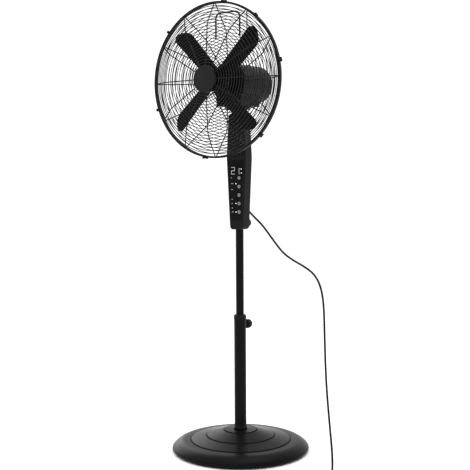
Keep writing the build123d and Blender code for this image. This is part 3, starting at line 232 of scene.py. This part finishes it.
# Shader building
class Value:
    """A shader output that can be used in sums."""

    def __init__(self, nodes, socket):
        self.nodes = nodes
        self.socket = socket

    def math(self, operation, first, second):
        return self.nodes.node("ShaderNodeMath", {"operation": operation}, {0: first, 1: second})

    def __add__(self, other):
        return self.math("ADD", self, other)

    def __radd__(self, other):
        return self.math("ADD", other, self)

    def __sub__(self, other):
        return self.math("SUBTRACT", self, other)

    def __rsub__(self, other):
        return self.math("SUBTRACT", other, self)

    def __mul__(self, other):
        return self.math("MULTIPLY", self, other)

    def __rmul__(self, other):
        return self.math("MULTIPLY", other, self)

    def __pow__(self, other):
        return self.math("POWER", self, other)


class Nodes:
    """A node tree that values and nodes are added to."""

    def __init__(self, tree):
        self.tree = tree

    def put(self, socket, value):
        if isinstance(value, Value):
            self.tree.links.new(value.socket, socket)
        else:
            socket.default_value = value

    def node(self, kind, settings=None, sockets=None, out=0):
        made = self.tree.nodes.new(kind)
        for key, value in (settings or {}).items():
            setattr(made, key, value)
        for key, value in (sockets or {}).items():
            self.put(made.inputs[key], value)
        return Value(self, made.outputs[out])


class Shader(Nodes):
    """One material built from nodes round a Principled surface."""

    def __init__(self, name):
        self.material = bpy.data.materials.new(name)
        self.material.use_nodes = True
        super().__init__(self.material.node_tree)
        self.surface = self.tree.nodes["Principled BSDF"]

    def set(self, **sockets):
        for key, value in sockets.items():
            self.put(self.surface.inputs[key.replace("_", " ")], value)

    def place(self):
        return self.node("ShaderNodeTexCoord", out="Object")

    def noise(self, scale, detail=3.0, stretch=None):
        spot = self.place()
        if stretch:
            spot = self.node("ShaderNodeMapping", None, {"Vector": spot, "Scale": stretch})
        return self.node("ShaderNodeTexNoise", None, {"Vector": spot, "Scale": scale, "Detail": detail})

    def mix(self, share, first, second):
        settings = {"data_type": "RGBA", "clamp_factor": True}
        return self.node("ShaderNodeMix", settings, {"Factor": share, 6: first, 7: second}, out=2)

    def bump(self, height, depth, strength=1.0, under=None):
        sockets = {"Height": height, "Distance": depth, "Strength": strength}
        if under:
            sockets["Normal"] = under
        return self.node("ShaderNodeBump", None, sockets)


def colour(level, warm=0.0):
    return (level * (1 + warm), level, level * (1 - warm), 1)


def plastic(shader, level, rough, grain, depth, gloss, wear, under=None):
    cloud = shader.noise(14.0, 4.0)
    fine = shader.noise(grain, 2.0)
    dust = shader.noise(210.0, 5.0)
    shader.set(
        Base_Color=shader.mix(cloud * 0.7 + dust * 0.3, colour(level * 0.75), colour(level * 1.35)),
        Roughness=rough + (cloud - 0.5) * wear + (fine - 0.5) * 0.08,
        Normal=shader.bump(fine, depth, 0.6, under),
    )
    shader.set(Specular_IOR_Level=gloss)
    return shader.material


def moulded(name, level, rough, grain=2400.0, depth=0.00004, gloss=0.5):
    """Moulded plastic or paint: fine grain, cloudy gloss and a little dust."""
    return plastic(Shader(name), level, rough, grain, depth, gloss, 0.14)


def painted_steel(name, level, rough, warm, gloss):
    """Painted tube or wire: faint lines along the length under the finish."""
    shader = Shader(name)
    cloud = shader.noise(9.0, 3.0)
    lines = shader.noise(60.0, 3.0, stretch=(14.0, 14.0, 0.4))
    peel = shader.noise(900.0, 2.0)
    dark, pale = colour(level * 0.8, warm), colour(level * 1.3, warm)
    shader.set(
        Base_Color=shader.mix(cloud * 0.6 + lines * 0.4, dark, pale),
        Roughness=rough + (cloud - 0.5) * 0.1 + (lines - 0.5) * 0.08,
        Normal=shader.bump(peel, 0.00003, 0.5),
    )
    shader.set(Specular_IOR_Level=gloss)
    return shader.material


def stepped_base(name, level, rough, gloss):
    """The base's plastic, with dull, sunk lines at the foot of its step rings."""
    shader = Shader(name)
    flat = shader.node("ShaderNodeVectorMath", {"operation": "MULTIPLY"}, {0: shader.place(), 1: (1, 1, 0)})
    reach = shader.node("ShaderNodeVectorMath", {"operation": "LENGTH"}, {0: flat}, out="Value")
    clear = 1.0
    for radius in STEP_RADII:
        away = shader.node("ShaderNodeMath", {"operation": "ABSOLUTE"}, {0: reach - radius})
        sockets = {"Value": away, "From Min": 0.0004, "From Max": STEP_LINE}
        clear = clear * shader.node("ShaderNodeMapRange", {"interpolation_type": "SMOOTHSTEP"}, sockets)
    dull = (1.0 - clear) * 0.4
    sunk = shader.bump(clear, 0.002)
    return plastic(shader, level, dull + rough, 1500.0, 0.00003, gloss, 0.08, sunk)


def plain_metal(name, tint, rough):
    """Bare metal with turning marks and dulled patches."""
    shader = Shader(name)
    cloud = shader.noise(40.0, 4.0)
    marks = shader.noise(400.0, 2.0, stretch=(1.0, 12.0, 1.0))
    dark = tuple(0.75 * c for c in tint) + (1,)
    shader.set(
        Base_Color=shader.mix(cloud, dark, (*tint, 1)),
        Roughness=rough + (cloud - 0.5) * 0.15 + (marks - 0.5) * 0.1,
        Normal=shader.bump(marks, 0.00003, 0.5),
    )
    shader.set(Metallic=1.0)
    return shader.material


def spun_disc(name, level, rough):
    """Round cap with fine turned rings about the head's axis."""
    shader = Shader(name)
    spot = shader.node("ShaderNodeMapping", None, {"Vector": shader.place(), "Location": (0, 0, -HEAD_Z)})
    flat = shader.node("ShaderNodeVectorMath", {"operation": "MULTIPLY"}, {0: spot, 1: (1, 0, 1)})
    reach = shader.node("ShaderNodeVectorMath", {"operation": "LENGTH"}, {0: flat}, out="Value")
    rings = shader.node("ShaderNodeTexNoise", {"noise_dimensions": "1D"}, {"W": reach * 900.0, "Scale": 1.0})
    cloud = shader.noise(25.0, 3.0)
    shader.set(
        Base_Color=shader.mix(rings * 0.6 + cloud * 0.4, colour(level * 0.7), colour(level * 1.4)),
        Roughness=rough + (rings - 0.5) * 0.12 + (cloud - 0.5) * 0.08,
        Normal=shader.bump(rings, 0.00003, 0.5),
    )
    shader.set(Specular_IOR_Level=0.12)
    return shader.material


def glow(name, level, pale=1.0):
    """Lit mark behind the panel, a little uneven."""
    shader = Shader(name)
    cloud = shader.noise(500.0, 2.0)
    tone = shader.mix(cloud, colour(pale * 0.88, -0.04), colour(pale))
    shader.set(Base_Color=tone, Emission_Color=tone)
    shader.set(Emission_Strength=level, Roughness=0.5)
    return shader.material


def circuit_board(name):
    shader = Shader(name)
    cells = shader.node("ShaderNodeTexVoronoi", None, {"Vector": shader.place(), "Scale": 420.0})
    cloud = shader.noise(60.0, 2.0)
    shader.set(
        Base_Color=shader.mix(cells, (0.01, 0.06, 0.02, 1), (0.02, 0.13, 0.05, 1)),
        Roughness=0.4 + cloud * 0.2,
        Normal=shader.bump(cells, 0.0001, 0.5),
    )
    return shader.material


def windings(name):
    """Copper wire wound round the motor's axis."""
    shader = Shader(name)
    strands = shader.node(
        "ShaderNodeTexWave",
        {"wave_type": "BANDS", "bands_direction": "Y"},
        {"Vector": shader.place(), "Scale": 480.0, "Distortion": 1.5, "Detail": 2.0},
    )
    shader.set(
        Base_Color=shader.mix(strands, (0.16, 0.05, 0.015, 1), (0.55, 0.22, 0.07, 1)),
        Roughness=0.45 - strands * 0.2,
        Normal=shader.bump(strands, 0.0003, 0.8),
    )
    shader.set(Metallic=0.8)
    return shader.material


def laminations(name):
    """Stacked motor steel, edges showing along the axis."""
    shader = Shader(name)
    layers = shader.node(
        "ShaderNodeTexWave",
        {"wave_type": "BANDS", "bands_direction": "Y"},
        {"Vector": shader.place(), "Scale": 320.0, "Distortion": 0.3},
    )
    cloud = shader.noise(90.0, 3.0)
    shader.set(
        Base_Color=shader.mix(layers * 0.5 + cloud * 0.5, colour(0.12), colour(0.32)),
        Roughness=0.5 + (cloud - 0.5) * 0.3,
        Normal=shader.bump(layers, 0.0002, 0.7),
    )
    shader.set(Metallic=0.9)
    return shader.material


def cast_iron(name):
    shader = Shader(name)
    lumps = shader.noise(180.0, 6.0)
    rust = shader.noise(30.0, 4.0) ** 3.0
    shader.set(
        Base_Color=shader.mix(rust * 2.0, colour(0.04), (0.09, 0.045, 0.025, 1)),
        Roughness=0.65 + lumps * 0.25,
        Normal=shader.bump(lumps, 0.0008, 0.7),
    )
    shader.set(Metallic=0.3)
    return shader.material


def make_materials():
    return {
        "painted_steel": painted_steel("pole paint", 0.004, 0.34, 0.10, 0.06),
        "base_plastic": stepped_base("base plastic", 0.004, 0.28, 0.05),
        "black_plastic": moulded("housing plastic", 0.005, 0.44, 2400.0, 0.00004, 0.09),
        "panel_gloss": moulded("panel gloss", 0.004, 0.34, 3000.0, 0.00001, 0.05),
        "smoked_window": moulded("window gloss", 0.003, 0.24, 3000.0, 0.000005, 0.05),
        "lens": glow("lit lens", 1.2),
        "button_grey": moulded("button plastic", 0.19, 0.45, 2600.0, 0.00003, 0.4),
        "wire_black": painted_steel("guard wire", 0.006, 0.40, 0.0, 0.17),
        "blade_plastic": moulded("blade plastic", 0.004, 0.42, 1800.0, 0.00003, 0.04),
        "badge_chrome": spun_disc("badge disc", 0.007, 0.4),
        "collar_chrome": moulded("collar gloss", 0.004, 0.25, 2400.0, 0.00002, 0.1),
        "ballast_iron": cast_iron("ballast"),
        "plate_board": moulded("base underside", 0.02, 0.55, 900.0, 0.00008, 0.4),
        "plain_steel": plain_metal("zinc steel", (0.55, 0.55, 0.54), 0.32),
        "bush_plastic": moulded("bush plastic", 0.03, 0.5),
        "core_steel": laminations("motor core"),
        "winding": windings("copper windings"),
        "cast_alloy": plain_metal("cast alloy", (0.5, 0.5, 0.5), 0.45),
        "board_green": circuit_board("circuit board"),
        "cord_rubber": moulded("lead rubber", 0.007, 0.5, 1600.0, 0.00005, 0.12),
        "pin_brass": plain_metal("plug pins", (0.7, 0.55, 0.25), 0.25),
        "gear_nylon": moulded("gear nylon", 0.6, 0.45),
    }


def paint(piece, material):
    piece.data.materials.clear()
    piece.data.materials.append(material)


# Printed and lit marks on the panel and its buttons
MM = 0.001
MARK_SET = 0.00012
DIGIT = {"x": -9.5 * MM, "z": 816 * MM, "width": 12.5 * MM, "height": 19 * MM, "stroke": 1.8 * MM}
SECOND_DIGIT_MM = ((11, 12.6, 806, 823), (12.6, 16, 821.4, 823))
DOT_X = 19.5 * MM
DOT_HEIGHTS = (821 * MM, 809.5 * MM)
DOT_RADIUS = 1.5 * MM
DASHES_MM = ((796, 3.2), (779, 7.5), (762, 5.0), (734, 3.6), (722, 3.2), (709, 3.8), (698, 5.4))
DASH_LEFT = -17
DASH_LEAN = 0.035
DASH_HALF = 0.8
BUTTON_X = 0.0115
BUTTON_Y = -0.019
BUTTON_TOP_Z = 0.7955
BUTTON_PITCH = 0.0244
LINE = [(-0.0029, 0.0029, -0.0007, 0.0007)]
STROKES = [(-0.0019, -0.0007, -0.0024, 0.0024), (0.0007, 0.0019, -0.0024, 0.0024)]


def bar(x0, x1, z0, z1):
    return [(x0, z0), (x1, z0), (x1, z1), (x0, z1)]


def marks_piece(name, outlines, face_y=PANEL_Y, depth=0.00015):
    """Flat raised shapes on a front face from (x, z) outlines in metres."""
    vertices, faces = [], []
    front = face_y - MARK_SET
    for outline in outlines:
        first = len(vertices)
        count = len(outline)
        vertices += [(x, front, z) for x, z in outline]
        vertices += [(x, front + depth, z) for x, z in outline]
        faces.append(tuple(range(first, first + count)))
        faces.append(tuple(reversed(range(first + count, first + 2 * count))))
        for i in range(count):
            j = (i + 1) % count
            faces.append((first + j, first + i, first + count + i, first + count + j))
    return add_mesh(name, vertices, faces, smooth=False)


def round_mark(x, z, radius, sides=24):
    steps = [2 * math.pi * i / sides for i in range(sides)]
    return [(x + radius * math.cos(a), z + radius * math.sin(a)) for a in steps]


def digit_two(x, z, width, height, stroke):
    half, tall = width / 2, height / 2
    gap = stroke * 0.12
    left, right = x - half + gap, x + half - gap
    across = [(left, right, at - stroke / 2, at + stroke / 2) for at in (z - tall, z, z + tall)]
    upright = [
        (x + half - stroke, x + half, z + gap + stroke / 2, z + tall - gap - stroke / 2),
        (x - half, x - half + stroke, z - tall + gap + stroke / 2, z - gap - stroke / 2),
    ]
    return [bar(*b) for b in across + upright]


def make_marks():
    """The display's lit digits and dots, and a slanting row of printed dashes under them."""
    lit = digit_two(**DIGIT)
    lit += [bar(*[MM * edge for edge in edges]) for edges in SECOND_DIGIT_MM]
    digits = marks_piece("display_digits", lit)
    paint(digits, glow("lit digits", 0.35, 0.36))
    dots = marks_piece("display_dots", [round_mark(DOT_X, z, DOT_RADIUS) for z in DOT_HEIGHTS])
    paint(dots, glow("lit dots", 0.35))
    dashes = []
    top = DASHES_MM[0][0]
    for z, width in DASHES_MM:
        left = DASH_LEFT + DASH_LEAN * (top - z)
        edges = (left, left + width, z - DASH_HALF, z + DASH_HALF)
        dashes.append(bar(*[MM * edge for edge in edges]))
    printed = marks_piece("panel_marks", dashes)
    paint(printed, moulded("panel print", 0.4, 0.5))
    for piece in (digits, dots, printed):
        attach(piece, "column")


def make_button_marks():
    """A dark printed sign on each button but the top one: a line, a line, two strokes and a line."""
    ink = moulded("button print", 0.005, 0.5, gloss=0.2)
    for index, sign in ((1, LINE), (2, LINE), (3, STROKES), (4, LINE)):
        z = BUTTON_TOP_Z - BUTTON_PITCH * index
        shapes = [bar(BUTTON_X + x0, BUTTON_X + x1, z + z0, z + z1) for x0, x1, z0, z1 in sign]
        mark = marks_piece(f"button_mark_{index + 1}", shapes, BUTTON_Y)
        paint(mark, ink)
        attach(mark, f"button_{index + 1}")


# Two bright screws that hold the rear guard's plate to the motor
PLATE_Y = -0.0514
SCREWS = ((0.0055, 0.042), (-0.0055, -0.042))
SCREW_RADIUS = 0.0022
SCREW_HEIGHT = 0.0016
SCREW_SIDES = 20
SCREW_PROFILE = ((1.0, 0.0), (1.0, 0.5), (0.85, 0.85), (0.5, 1.0))


def make_screws(material):
    for index, (x, rise) in enumerate(SCREWS):
        vertices = []
        for share, depth in SCREW_PROFILE:
            for step in range(SCREW_SIDES):
                angle = 2 * math.pi * step / SCREW_SIDES
                across = share * SCREW_RADIUS
                place = (x + across * math.cos(angle), PLATE_Y - depth * SCREW_HEIGHT)
                vertices.append((*place, HEAD_Z + rise + across * math.sin(angle)))
        faces = ring_faces(len(SCREW_PROFILE), SCREW_SIDES)
        head = add_mesh(f"plate_screw_{index + 1}", vertices, faces)
        paint(head, material)
        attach(head, "head")


# Studio
FLOOR = 60.0
FLOOR_Z = -0.0004
AIM = Vector((0, 0, 0.65))
BRIGHT_SIDE = (-0.53, 0.3, 0.5)
BRIGHT_SHARE = 0.62
BRIGHT = 1.22
DIM = 0.98
LAMPS = (
    ("key", (-2.5, 1.0, 1.4), 2.2, 26.0),
    ("fill", (-2.0, -2.2, 2.0), 1.8, 5.0),
    ("top", (0.2, 0.4, 3.4), 2.0, 30.0),
)


def make_world():
    """White surroundings, brightest behind, above and to the left of the fan."""
    world = bpy.data.worlds.new("studio")
    world.use_nodes = True
    sky = Nodes(world.node_tree)
    way = sky.node("ShaderNodeTexCoord", out="Generated")
    dot = {"operation": "DOT_PRODUCT"}
    facing = sky.node("ShaderNodeVectorMath", dot, {0: way, 1: BRIGHT_SIDE}, out="Value")
    white = (1, 1, 1, 1)
    dim = sky.node("ShaderNodeBackground", None, {"Color": white, "Strength": DIM})
    bright = sky.node("ShaderNodeBackground", None, {"Color": white, "Strength": BRIGHT})
    mixed = sky.node("ShaderNodeMixShader", None, {"Fac": facing + BRIGHT_SHARE, 1: dim, 2: bright})
    sky.put(sky.tree.nodes["World Output"].inputs["Surface"], mixed)
    scene.world = world


def make_studio():
    corners = [(-FLOOR, -FLOOR), (FLOOR, -FLOOR), (FLOOR, FLOOR), (-FLOOR, FLOOR)]
    floor = add_mesh("floor", [(x, y, FLOOR_Z) for x, y in corners], [(0, 1, 2, 3)])
    shader = Shader("studio floor")
    shader.set(Base_Color=(0.97, 0.97, 0.97, 1), Roughness=1.0, Specular_IOR_Level=0.0)
    paint(floor, shader.material)
    scene.view_settings.view_transform = "Standard"
    for name, place, size, power in LAMPS:
        data = bpy.data.lights.new(name, "AREA")
        data.size = size
        data.energy = power
        lamp = bpy.data.objects.new(name, data)
        lamp.location = place
        lamp.rotation_mode = "QUATERNION"
        lamp.rotation_quaternion = (AIM - Vector(place)).to_track_quat("-Z", "Y")
        scene.collection.objects.link(lamp)


make_camera()
cord = make_cord()
materials = make_materials()
slots = {entry["node"]: entry["material_slot"] for entry in frame["record"]["subparts"]}
for name, node in nodes.items():
    paint(node, materials[slots[name]])
paint(cord, materials["cord_rubber"])
make_marks()
make_button_marks()
make_screws(materials["plain_steel"])
make_world()
make_studio()
